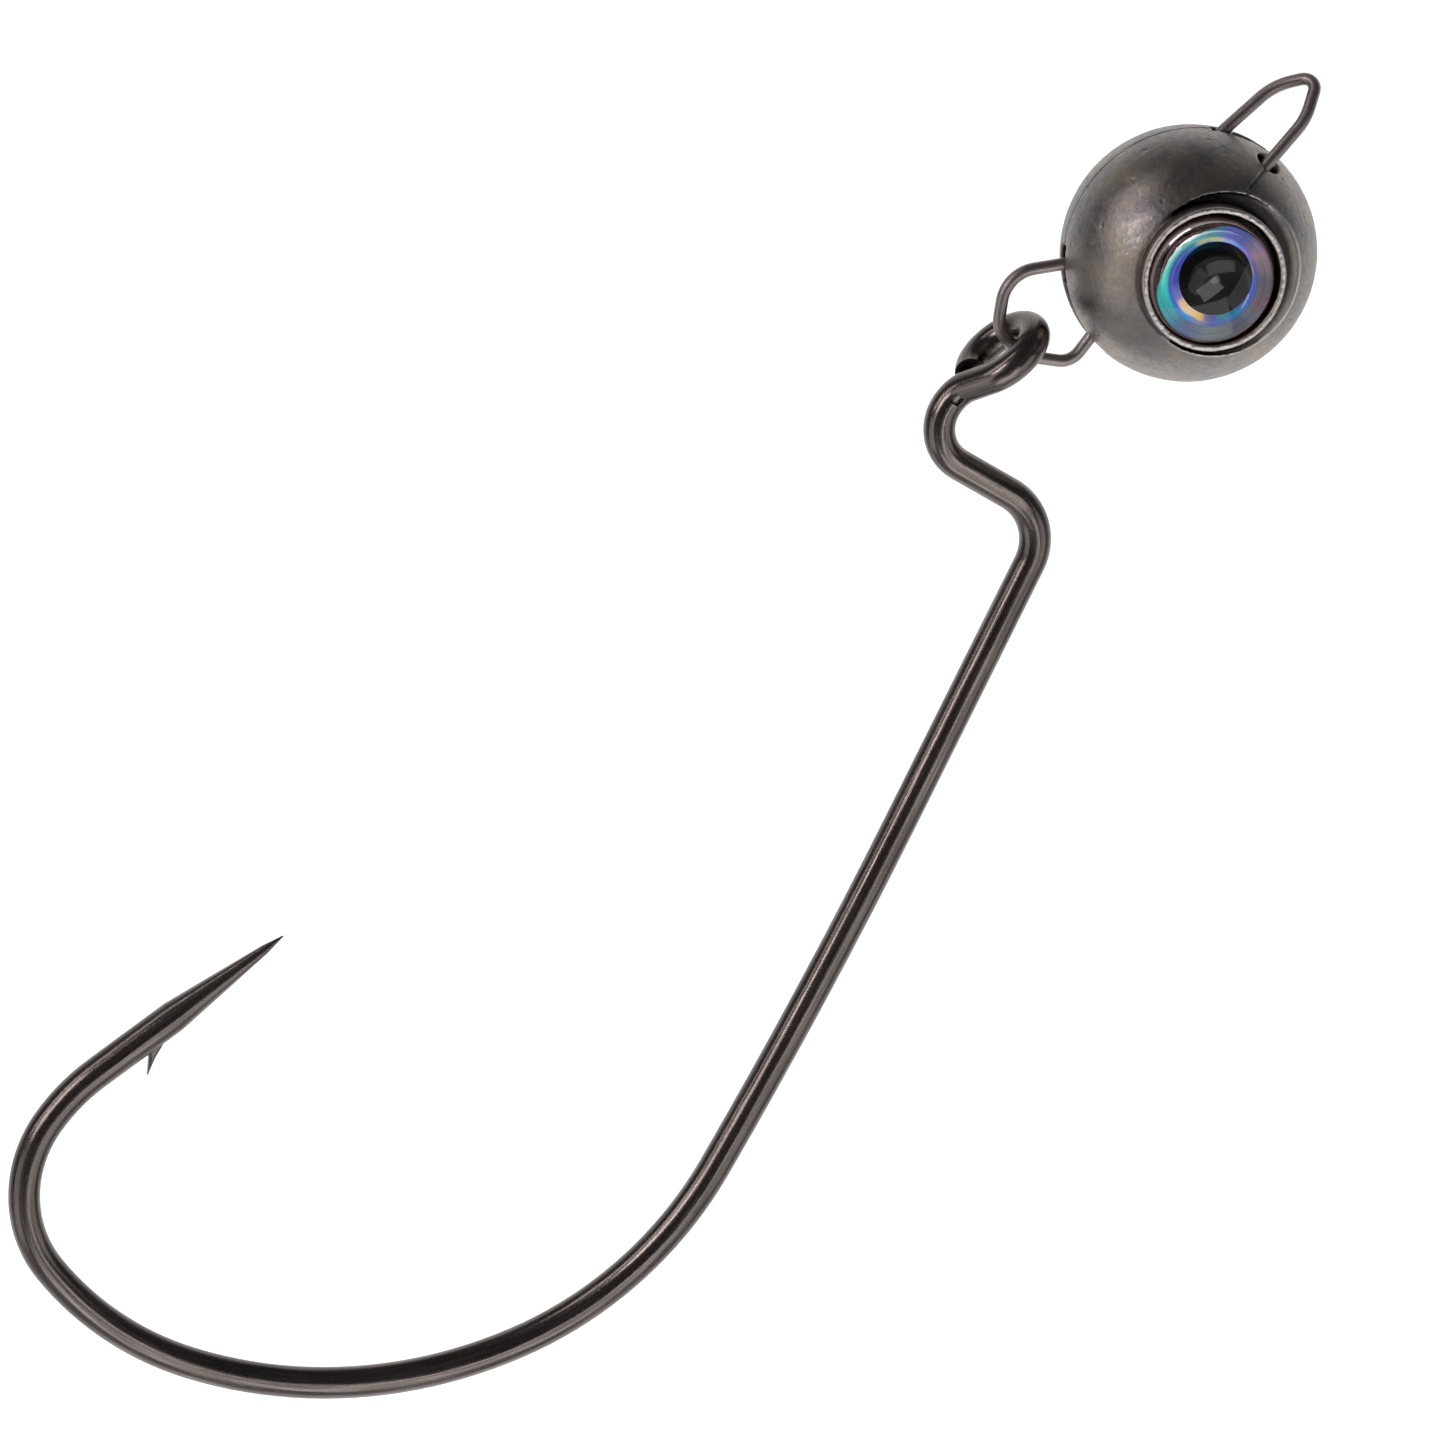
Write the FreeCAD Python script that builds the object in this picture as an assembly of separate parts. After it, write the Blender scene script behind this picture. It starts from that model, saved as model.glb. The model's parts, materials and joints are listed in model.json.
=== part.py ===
import FreeCAD, Part
import math
import os

V = FreeCAD.Vector
os.makedirs("parts", exist_ok=True)

# ---- driving dimensions, mm ----
BALL_R = 6.3                    # lead ball, radius in the mid-plane
EYE_R = 3.0                     # stick-on eye
CLIP_R = 0.31                   # clip wire
HOOK_R = 0.78                   # hook wire
RING_R = 1.85                   # hook ring, centreline
SHANK_LEN = 14.1                # straight part of the hook's shank
LIMB_LEN = 11.22                # straight limb that ends in the point

# ---- clearances ----
CLIP_FIT = 0.08                 # round the clip wire, in the lead
HANG_GAP = 0.04                 # between the hook ring and the clip it hangs on
EYE_FIT = 0.3                   # round the eye, in its cup

# ---- ball ----
BALL_POLAR_R = 0.87 * BALL_R    # half width along the eye axis
CUP_R = EYE_R + EYE_FIT
LIP_OUTER_R = CUP_R + 0.3
MOAT_R = LIP_OUTER_R + 0.47     # round recess the cup stands in
MOAT_SHIFT = (0.46, 0.28)       # the recess is cast off centre by this much
LIP_Y = BALL_POLAR_R - 0.24     # lip of the cup, distance from the mid-plane
CUP_FLOOR_Y = LIP_Y - 0.95
MOAT_FLOOR_Y = CUP_FLOOR_Y - 0.44
LIP_ROOT = 0.3                  # how far the cup's wall reaches below the recess
PROUD = 1.0                     # how far a cutting tool stands out of the metal

# ---- eye, from the floor of the cup ----
PAD_T = 0.80                    # thick enough to bring the foil level with the lip
FOIL_T = 0.10
DOME_RIM_T = 0.12
DOME_RISE = 0.55                # crown above the rim
EYE_SHIFT = (-0.08, -0.12)      # the eyes are stuck a little off the cups' centre, (x, z)

# ---- clip: places in ball radii from the centre of the ball, (x, y, z) or (x, z) in the mid-plane ----
NEAR_END = (-0.143, 0.0, 0.063)         # end of the near leg, inside the ball
NEAR_TURN = (-0.056, -0.024, 0.460)
TIE_NEAR = (0.040, -0.278, 0.944)       # where the near leg comes out
TIE_NEAR_BOW = (0.134, -0.178, 1.366)   # the loop's legs bow outwards here
TIE_APEX = (0.100, 0.024, 1.696)        # where the two legs would meet
TIE_FAR_BOW = (-0.119, 0.145, 1.436)
TIE_FAR = (-0.280, 0.088, 0.948)        # where the far leg comes out
REAR_LOOP = [(-0.730, -0.517), (-1.151, -0.873), (-0.944, -1.317), (-0.595, -1.317), (-0.310, -1.198)]
REAR_END = (-0.254, -0.413)             # end of the rear leg, inside the ball
HANG_X = -0.722                         # where the hook ring hangs on the rear loop
SLOT = [(-0.357, 1.048), (-0.913, -0.524), (-1.0, -0.889), (-0.159, -1.143), (0.087, 0.063), (0.135, 1.048)]
NEAR_RUN_IN = 1.3                       # the near leg runs straight this far below its mouth
NEAR_BEND = 0.9
BOW_R = 3.0
NOSE_R = 0.6                            # line-tie loop, centreline at its nose
FAR_BEND = 1.5
REAR_BENDS = [1.0, 1.8, 1.5, 2.0, 1.1]
MOUTH_R, MOUTH_DEPTH = 0.85, 2.2        # flared mouth in the lead round the near leg
MOUTH_RUN = (-0.45, 1.0, -2.2)          # the way the mouth goes in

# ---- hook ----
RING_LEAN = 71.0                # ring, degrees from level
RING_TWIST = 5.0                # ring, degrees off square to the hook
BUTT_GAP = 0.02                 # between the ring's cut end and the limb it butts against
KNEE_DROP = RING_R + 1.26 * HOOK_R      # from the ring's centre to the knee, where the neck turns into it
NECK_TURN = 17.9                # neck, degrees off the ring's long direction
NECK_R = 1.9                    # bend at the knee
NECK_LEN = 0.84                 # from the knee to the first bend below it
NOTCH, NOTCH_DEPTH = 0.36, 0.15         # square tool mark on the near face of the neck
NOTCH_DROP = 0.37               # its middle, below the knee
# below the neck: ("line", length) or ("bend", radius, degrees to the left)
HOOK_RUN = [
    ("bend", 2.16, 92.9), ("line", 2.98), ("bend", 2.79, -84.5), ("line", SHANK_LEN),
    ("bend", 290.0, -3.8), ("bend", 19.3, -38.9), ("bend", 23.2, -41.1), ("bend", 15.9, -31.8),
    ("bend", 6.17, -73.7), ("bend", 9.92, -19.6),
]
POINT_LEN = 6.6                 # ground point
TIP_LEN = 1.1                   # its steeper last stretch
TIP_ROOT_R = 0.30 * HOOK_R
TIP_END_R = 0.03
# barb in wire radii: (behind the ground point, off the centreline)
BARB = [(0.90, 0.51), (1.41, 0.97), (2.44, 1.44), (3.46, 2.08), (2.76, 1.22), (2.56, 0.77), (2.56, 0.51)]
BARB_HALF_T = 0.28 * HOOK_R


def ball_place(place):
    """A place given in ball radii, in mm from the centre of the ball."""
    x, y, z = place if len(place) == 3 else (place[0], 0.0, place[1])
    return V(x, y, z) * BALL_R


def unit(v):
    return v * (1.0 / v.Length)


def corner_arc(before, corner, after, radius):
    """The tangent arc that rounds a corner: its start, middle, end and centre."""
    a, b = unit(before - corner), unit(after - corner)
    half = a.getAngle(b) / 2.0
    inward = unit(a + b)
    centre = corner + inward * (radius / math.sin(half))
    reach = radius / math.tan(half)
    return corner + a * reach, centre - inward * radius, corner + b * reach, centre


def rounded(points, radii):
    """A wire of straight runs through the points, with each inner corner rounded by a tangent arc."""
    edges, start = [], points[0]
    for before, corner, after, radius in zip(points, points[1:], points[2:], radii):
        t1, mid, t2, centre = corner_arc(before, corner, after, radius)
        edges += [Part.LineSegment(start, t1).toShape(), Part.Arc(t1, mid, t2).toShape()]
        start = t2
    edges.append(Part.LineSegment(start, points[-1]).toShape())
    return Part.Wire(edges)


def tube(path, radius):
    """A round bar along a wire."""
    first = path.Edges[0]
    at = first.valueAt(first.FirstParameter)
    along = first.tangentAt(first.FirstParameter)
    section = Part.Wire([Part.Circle(at, along, radius).toShape()])
    return path.makePipeShell([section], True, True)


def disc(radius, y0, y1, x=0.0, z=0.0):
    """A plate square to the eye axis, between two distances from the mid-plane."""
    low, high = min(y0, y1), max(y0, y1)
    return Part.makeCylinder(radius, high - low, V(x, low, z), V(0, 1, 0))


def plate(corners, half):
    """A flat plate of the given outline, as thick on one side of the mid-plane as on the other."""
    back = [p - V(0, half, 0) for p in corners]
    return Part.Face(Part.makePolygon(back + back[:1])).extrude(V(0, 2 * half, 0))


def clip_path():
    """The one wire of the clip: near leg, line-tie loop, far leg through the ball, rear loop, rear leg."""
    mouth, bow = ball_place(TIE_NEAR), ball_place(TIE_NEAR_BOW)
    run_in = mouth + unit(mouth - bow) * NEAR_RUN_IN
    points = [ball_place(NEAR_END), ball_place(NEAR_TURN), run_in, bow]
    points += [ball_place(p) for p in [TIE_APEX, TIE_FAR_BOW, TIE_FAR] + REAR_LOOP + [REAR_END]]
    return rounded(points, [NEAR_BEND, NEAR_BEND, BOW_R, NOSE_R, BOW_R, FAR_BEND] + REAR_BENDS)


def line_bearing():
    """The inside of the line-tie loop's nose, where the line bears."""
    apex = ball_place(TIE_APEX)
    centre = corner_arc(ball_place(TIE_NEAR_BOW), apex, ball_place(TIE_FAR_BOW), NOSE_R)[3]
    return centre + unit(apex - centre) * (NOSE_R - CLIP_R)


def make_ball():
    oval = Part.Ellipse(V(0, 0, 0), BALL_R, BALL_POLAR_R)
    rim = Part.ArcOfEllipse(oval, -math.pi / 2, math.pi / 2).toShape()
    axis = Part.LineSegment(V(0, BALL_POLAR_R, 0), V(0, -BALL_POLAR_R, 0)).toShape()
    body = Part.Face(Part.Wire([rim, axis])).revolve(V(0, 0, 0), V(0, 1, 0), 360)
    out = BALL_POLAR_R + PROUD
    for s in (1, -1):
        body = body.cut(disc(MOAT_R, s * MOAT_FLOOR_Y, s * out, *MOAT_SHIFT))
        body = body.fuse(disc(LIP_OUTER_R, s * (MOAT_FLOOR_Y - LIP_ROOT), s * LIP_Y))
        body = body.cut(disc(CUP_R, s * CUP_FLOOR_Y, s * out))
    # the slot for the clip, room for the wire itself, and the mouth the near leg comes out of
    room = CLIP_R + CLIP_FIT
    body = body.cut(plate([ball_place(p) for p in SLOT], room))
    body = body.cut(tube(clip_path(), room))
    down = unit(V(*MOUTH_RUN))
    lip = ball_place(TIE_NEAR) - down * PROUD * 0.8
    body = body.cut(Part.makeCone(MOUTH_R, room, MOUTH_DEPTH, lip, down))
    return body.removeSplitter()


def hook_frame():
    """The hook ring's centre, its long direction and its cross direction."""
    lean, twist = math.radians(RING_LEAN), math.radians(RING_TWIST)
    up = V(math.cos(lean), 0, math.sin(lean))
    square = V(math.sin(lean), 0, -math.cos(lean))
    across = V(0, 1, 0) * math.cos(twist) - square * math.sin(twist)
    return hang_point() - up * RING_R, up, across


def hang_point():
    """The centre of the ring's wire where it bears on the clip: the hook swings about this point."""
    lowest = min(z for x, z in REAR_LOOP) * BALL_R
    return V(HANG_X * BALL_R, 0, lowest + CLIP_R + HOOK_R + HANG_GAP)


def butt_angle():
    """How far round from the ring's lowest point its cut end stops, just clear of the near limb."""
    half = math.acos(RING_R / KNEE_DROP)
    a, gap = 0.0, -1.0
    while gap < BUTT_GAP:
        a += math.radians(0.5)
        apart = math.cos(half) * (KNEE_DROP - RING_R * math.cos(a)) + math.sin(half) * RING_R * math.sin(a)
        gap = apart - HOOK_R * (1 + math.cos(a + half))
    return a


def hook_path():
    """The hook's centreline from the ring's cut end down to the limb, with the limb's start and heading."""
    centre, up, across = hook_frame()

    def on_ring(a):
        return centre + across * (RING_R * math.sin(a)) - up * (RING_R * math.cos(a))
    first, last = butt_angle(), 2 * math.pi - math.acos(RING_R / KNEE_DROP)
    quarter = [on_ring(first + (last - first) * k / 4.0) for k in range(5)]
    edges = [Part.Arc(*quarter[k:k + 3]).toShape() for k in (0, 2)]
    h = math.radians(RING_LEAN - 180.0 + NECK_TURN)
    knee = centre - up * KNEE_DROP
    p = knee + V(math.cos(h), 0, math.sin(h)) * NECK_LEN
    edges += rounded([quarter[4], knee, p], [NECK_R]).Edges
    for kind, size, *turn in HOOK_RUN:
        if kind == "line":
            q = p + V(math.cos(h), 0, math.sin(h)) * size
            edges.append(Part.LineSegment(p, q).toShape())
        else:
            swing = math.radians(turn[0])
            r = math.copysign(size, swing)
            pivot = p + V(-math.sin(h), 0, math.cos(h)) * r
            mid, q = [pivot + V(math.sin(h + k * swing), 0, -math.cos(h + k * swing)) * r for k in (0.5, 1)]
            edges.append(Part.Arc(p, mid, q).toShape())
            h += swing
        p = q
    return edges, p, h


def neck_notch():
    """The square mark to cut from the near face of the neck."""
    centre, up, across = hook_frame()
    x, y, z = centre - up * KNEE_DROP - V(NOTCH / 2, HOOK_R + PROUD, NOTCH_DROP + NOTCH / 2)
    return Part.makeBox(NOTCH, PROUD + NOTCH_DEPTH, NOTCH, V(x, y, z))


def make_hook():
    edges, p, h = hook_path()
    d = V(math.cos(h), 0, math.sin(h))
    inner = V(math.sin(h), 0, -math.cos(h))
    base = p + d * (LIMB_LEN - POINT_LEN)
    edges.append(Part.LineSegment(p, base).toShape())
    bar = tube(Part.Wire(edges), HOOK_R).cut(neck_notch())
    long = POINT_LEN - TIP_LEN
    ground = Part.makeCone(HOOK_R, TIP_ROOT_R, long, base, d)
    tip = Part.makeCone(TIP_ROOT_R, TIP_END_R, TIP_LEN, base + d * long, d)
    barb = plate([base - d * (a * HOOK_R) + inner * (b * HOOK_R) for a, b in BARB], BARB_HALF_T)
    return bar.fuse([ground, tip, barb]).removeSplitter()


def make_eye(s):
    """Pad, foil and dome of one stick-on eye. s: +1 for the far side, -1 for the near side."""
    pad_y = CUP_FLOOR_Y + PAD_T
    foil_y = pad_y + FOIL_T
    crown_y = foil_y + DOME_RIM_T + DOME_RISE
    pad = disc(EYE_R, s * CUP_FLOOR_Y, s * pad_y, *EYE_SHIFT)
    foil = disc(EYE_R, s * pad_y, s * foil_y, *EYE_SHIFT)
    r = (EYE_R ** 2 + DOME_RISE ** 2) / (2 * DOME_RISE)
    ball = Part.makeSphere(r, V(EYE_SHIFT[0], s * (crown_y - r), EYE_SHIFT[1]))
    dome = disc(EYE_R, s * foil_y, s * (crown_y + PROUD), *EYE_SHIFT).common(ball)
    return pad, foil, dome


solids = {"ball_body": make_ball(), "wire_clip": tube(clip_path(), CLIP_R), "hook": make_hook()}
for side, s in (("right", -1), ("left", 1)):
    solids["eye_pad_" + side], solids["eye_foil_" + side], solids["eye_dome_" + side] = make_eye(s)
# the whole jig stands with the line's bearing point at x = z = 0 and the ball's mid-plane at y = 0
origin = line_bearing()
move = V(-origin.x, 0, -origin.z)
for name, shape in solids.items():
    shape.translate(move)
    shape.Solids[0].exportStep("parts/" + name + ".step")
    print(name, len(shape.Solids), "solid", round(shape.Volume, 3), "mm3")
print("hook hangs at", hang_point() + move, "ball centre", move)
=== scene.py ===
import json
import math

import bmesh
import bpy
from mathutils import Matrix, Vector, noise


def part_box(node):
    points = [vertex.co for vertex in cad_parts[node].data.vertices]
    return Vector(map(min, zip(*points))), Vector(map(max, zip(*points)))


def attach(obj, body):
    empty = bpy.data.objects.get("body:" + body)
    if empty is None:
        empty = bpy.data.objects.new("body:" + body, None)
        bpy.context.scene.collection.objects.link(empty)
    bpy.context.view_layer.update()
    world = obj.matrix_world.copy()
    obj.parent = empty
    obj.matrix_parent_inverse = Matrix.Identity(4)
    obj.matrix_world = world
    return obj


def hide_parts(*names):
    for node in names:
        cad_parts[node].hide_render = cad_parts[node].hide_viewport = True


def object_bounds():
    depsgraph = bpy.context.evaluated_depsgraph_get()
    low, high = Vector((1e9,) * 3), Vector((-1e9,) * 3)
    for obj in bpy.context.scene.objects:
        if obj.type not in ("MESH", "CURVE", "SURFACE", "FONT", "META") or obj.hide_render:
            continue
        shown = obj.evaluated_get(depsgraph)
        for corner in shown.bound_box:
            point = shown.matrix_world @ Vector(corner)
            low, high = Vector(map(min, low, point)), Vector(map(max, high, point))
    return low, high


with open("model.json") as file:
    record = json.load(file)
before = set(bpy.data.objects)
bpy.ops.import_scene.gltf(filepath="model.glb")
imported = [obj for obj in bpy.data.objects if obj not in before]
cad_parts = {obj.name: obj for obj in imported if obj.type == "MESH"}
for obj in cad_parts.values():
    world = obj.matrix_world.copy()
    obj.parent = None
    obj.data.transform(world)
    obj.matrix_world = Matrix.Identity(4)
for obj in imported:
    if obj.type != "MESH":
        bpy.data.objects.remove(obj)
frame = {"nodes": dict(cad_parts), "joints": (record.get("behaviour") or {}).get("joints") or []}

cad_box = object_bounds()
MM = 0.001

# ---- places from the frame ----
BALL_LOW, BALL_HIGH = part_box("ball_body")
BALL_R = (BALL_HIGH.x - BALL_LOW.x) / 2
LIP_Y = BALL_HIGH.y
PAD_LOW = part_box("eye_pad_left")[0]
FOIL_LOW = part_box("eye_foil_left")[0]
DOME_LOW, DOME_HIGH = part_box("eye_dome_left")
EYE_R = (DOME_HIGH.x - DOME_LOW.x) / 2
EYE = Vector(((DOME_LOW.x + DOME_HIGH.x) / 2, 0, (DOME_LOW.z + DOME_HIGH.z) / 2))
EYE_SHIFT = Vector((-0.08, 0, -0.12)) * MM       # the eyes are stuck a little off the cups' centre
BALL = EYE - EYE_SHIFT
HANG = Vector(frame["joints"][0]["pos_m"])

# ---- ball ----
CUP_R = EYE_R + 0.3 * MM
LIP_R = CUP_R + 0.3 * MM
BALL_POLAR_R = 0.87 * BALL_R
RECESS_R = LIP_R + 0.47 * MM            # the round recess that the cup stands in, a little off its centre
RECESS_SHIFT = Vector((0.46, 0, 0.28)) * MM
CAST_GRAIN = 0.08 * MM          # size of the facets the casting is rebuilt in
# a cold crack runs from the near leg's mouth to the eye's recess, from the ball's centre
CRACK_FROM, CRACK_TO = Vector((0.25, -1.9, 5.9)) * MM, Vector((-0.6, -3.9, 4.6)) * MM
CRACK_HALF_W, CRACK_DEPTH = 0.07 * MM, 0.06         # depths and heights of the casting's marks are in mm
SEAM_Y, SEAM_HALF_W, SEAM_H = -0.05 * MM, 0.13 * MM, 0.035
PIT_DEPTH = 0.03

# ---- eye ----
DOME_RIM_T = 0.12 * MM
PUPIL_R = 1.8 * MM
PUPIL_SHIFT = Vector((0.03, 0, 0.21)) * MM
GLUE_R = EYE_R + 0.10 * MM              # the bead of glue round the eye
INK_T = 0.006 * MM
FOIL_RINGS, RING_DEPTH = 22, 0.006 * MM

# ---- clip, in ball radii from the centre of the ball ----
CLIP_R, CLIP_SIDES = 0.31 * MM, 28
CLIP_POINTS = [
    (-0.143, 0.0, 0.063), (-0.056, -0.024, 0.460), (-0.004, -0.324, 0.748), (0.134, -0.178, 1.366),
    (0.100, 0.024, 1.696), (-0.119, 0.145, 1.436), (-0.280, 0.088, 0.948), (-0.730, 0, -0.517),
    (-1.151, 0, -0.873), (-0.944, 0, -1.317), (-0.595, 0, -1.317), (-0.310, 0, -1.198), (-0.254, 0, -0.413),
]
CLIP_BENDS = [0.9, 0.9, 3.0, 0.6, 3.0, 1.5, 1.0, 1.8, 1.5, 2.0, 1.1]    # mm

# ---- hook ----
HOOK_R, HOOK_SIDES = 0.78 * MM, 40
RING_R = 1.85 * MM
RING_LEAN, RING_TWIST, RING_BUTT = math.radians(71), math.radians(5), math.radians(17.5)
KNEE_DROP = RING_R + 1.26 * HOOK_R      # from the ring's centre to the knee, where the neck turns into it
NECK_TURN, NECK_R, NECK_LEN = math.radians(17.9), 1.9 * MM, 0.84 * MM
NOTCH, NOTCH_DEPTH, NOTCH_DROP = 0.50 * MM, 0.24 * MM, 0.37 * MM
PRESSED = 0.07                          # share of its thickness that the wire loses where it is flattened
LIMB_FLAT, FLAT_EASE = 6.4 * MM, 0.8 * MM   # length of the flats on the offset limb, and of their run-out
BEND_FLAT_H = 11 * MM                   # height over the lowest point in which the bend is flattened
GROUND_EASE, GROUND_REACH = 1.5 * MM, 8 * MM    # over which the ground point's finish starts and ends
# below the neck, mm: ("line", length) or ("bend", radius, degrees to the left)
HOOK_RUN = [
    ("bend", 2.16, 92.9), ("line", 2.98),
    ("bend", 2.79, -84.5), ("line", 14.1), ("bend", 290.0, -3.8), ("bend", 19.3, -38.9),
    ("bend", 23.2, -41.1), ("bend", 15.9, -31.8), ("bend", 6.17, -73.7), ("bend", 9.92, -19.6),
    ("line", 4.62),
]
POINT_RUN = [(5.5, 0.30), (1.1, 0.04)]      # ground point: length in mm, and the size it thins to
BARB = [(0.90, 0.51), (1.41, 0.97), (2.44, 1.44), (3.46, 2.08), (2.76, 1.22), (2.56, 0.77), (2.56, 0.51)]
BARB_T = 0.28 * HOOK_R

# ---- view ----
AZIMUTH, ELEVATION, ROLL = math.radians(-19.8), math.radians(5.3), math.radians(33.4)
FRAME_W = 70.1 * MM
FRAMING = Vector((2.66, 0, -0.25)) * MM     # the frame's centre, from the centre of the jig
LENS, SENSOR = 1200.0, 36.0

# ---- light: how bright the surroundings are in reflections ----
BACK_GLOW, BELOW_GLOW, LEAST_GLOW = 0.80, 0.3, 0.07
LAMP_DISTANCE = 0.5
FLOOR_DROP = 40 * MM                    # from the lowest point of the jig

TO_CAMERA = Vector((math.sin(AZIMUTH) * math.cos(ELEVATION), -math.cos(AZIMUTH) * math.cos(ELEVATION),
                    math.sin(ELEVATION)))
LEVEL = Vector((math.cos(AZIMUTH), math.sin(AZIMUTH), 0))
RISE = TO_CAMERA.cross(LEVEL)
RIGHT = LEVEL * math.cos(ROLL) + RISE * math.sin(ROLL)
UP = RISE * math.cos(ROLL) - LEVEL * math.sin(ROLL)


# ---------------------------------------------------------------- node helpers

def feed(tree, socket, value):
    """Links a node's output to a socket, or sets the socket to a plain value."""
    if isinstance(value, bpy.types.NodeSocket):
        tree.links.new(value, socket)
    else:
        socket.default_value = value


def node(tree, kind, inputs=None, **settings):
    """Adds a shader node; inputs are values, or other nodes' outputs to link."""
    made = tree.nodes.new("ShaderNode" + kind)
    for key, value in settings.items():
        setattr(made, key, value)
    for socket, value in (inputs or {}).items():
        feed(tree, made.inputs[socket], value)
    return made


def maths(tree, operation, a, b=0.0, c=0.0):
    return node(tree, "Math", {0: a, 1: b, 2: c}, operation=operation).outputs[0]


def spread(tree, value, low, high, to_low=0.0, to_high=1.0, smooth=False):
    """Maps a value from one range to another, clamped."""
    made = node(tree, "MapRange", {0: value, 1: low, 2: high, 3: to_low, 4: to_high})
    made.interpolation_type = "SMOOTHSTEP" if smooth else "LINEAR"
    return made.outputs[0]


def tint(tree, factor, a, b, blend="MIX"):
    return node(tree, "Mix", {0: factor, 6: a, 7: b}, data_type="RGBA", blend_type=blend,
                clamp_factor=True).outputs[2]


def ramp(tree, factor, stops, interpolation="LINEAR"):
    """A colour ramp from (place, (r, g, b)) stops."""
    made = node(tree, "ValToRGB", {0: factor})
    bar = made.color_ramp
    bar.interpolation = interpolation
    while len(bar.elements) < len(stops):
        bar.elements.new(0.5)
    for element, (place, colour) in zip(bar.elements, stops):
        element.position = place
        element.color = (*colour, 1)
    return made.outputs[0]


def bump(tree, height, strength, distance, after=None):
    links = {"Height": height, "Strength": strength, "Distance": distance}
    if after is not None:
        links["Normal"] = after
    return node(tree, "Bump", links).outputs[0]


def group(name, inputs, outputs):
    """A node group with its sockets; returns the tree, its input node and its output node."""
    tree = bpy.data.node_groups.new(name, "ShaderNodeTree")
    for socket, kind, value in inputs:
        made = tree.interface.new_socket(socket, in_out="INPUT", socket_type="NodeSocket" + kind)
        made.default_value = value
    for socket, kind in outputs:
        tree.interface.new_socket(socket, in_out="OUTPUT", socket_type="NodeSocket" + kind)
    return tree, tree.nodes.new("NodeGroupInput"), tree.nodes.new("NodeGroupOutput")


def place_group(tree, made, inputs):
    return node(tree, "Group", inputs, node_tree=made).outputs


def material(name):
    made = bpy.data.materials.new(name)
    made.use_nodes = True
    tree = made.node_tree
    return made, tree, tree.nodes["Principled BSDF"]


# ---------------------------------------------------------------- shared effects

def mottle_group():
    """Cloudy patches and fine specks, as on oxidised or plated metal."""
    tree, given, out = group(
        "patchy metal",
        [("Patch Size", "Float", 1.5), ("Speck Size", "Float", 0.2)],
        [("Patches", "Float"), ("Specks", "Float")])
    place = node(tree, "TexCoord").outputs["Object"]
    metres = node(tree, "VectorMath", {0: place, 3: 1000.0}, operation="SCALE").outputs[0]
    cloud = node(tree, "TexNoise", {"Vector": metres, "Detail": 5.0, "Roughness": 0.6,
                                    "Scale": maths(tree, "DIVIDE", 1.0, given.outputs[0])})
    speck = node(tree, "TexNoise", {"Vector": metres, "Detail": 3.0, "Roughness": 0.65,
                                    "Scale": maths(tree, "DIVIDE", 1.0, given.outputs[1])})
    tree.links.new(spread(tree, cloud.outputs[0], 0.35, 0.65), out.inputs[0])
    tree.links.new(spread(tree, speck.outputs[0], 0.3, 0.7), out.inputs[1])
    return tree


def drawn_wire_group():
    """Faint lines along a wire, left by the die it was drawn through."""
    tree, given, out = group(
        "drawn wire", [("Fineness", "Float", 14.0), ("Stretch", "Float", 0.25)],
        [("Lines", "Float")])
    # round the wire as a point on a circle, and the distance along it in mm
    c = node(tree, "Attribute", attribute_name="round_x").outputs["Fac"]
    s = node(tree, "Attribute", attribute_name="round_y").outputs["Fac"]
    along = node(tree, "Attribute", attribute_name="along").outputs["Fac"]
    place = node(tree, "CombineXYZ", {
        0: maths(tree, "MULTIPLY", c, given.outputs[0]), 1: maths(tree, "MULTIPLY", s, given.outputs[0]),
        2: maths(tree, "MULTIPLY", along, given.outputs[1])}).outputs[0]
    lines = node(tree, "TexNoise", {"Vector": place, "Scale": 1.0, "Detail": 3.0, "Roughness": 0.55})
    tree.links.new(spread(tree, lines.outputs[0], 0.32, 0.68), out.inputs[0])
    return tree


patchy_metal, drawn_wire = mottle_group(), drawn_wire_group()


# ---------------------------------------------------------------- materials

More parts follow.
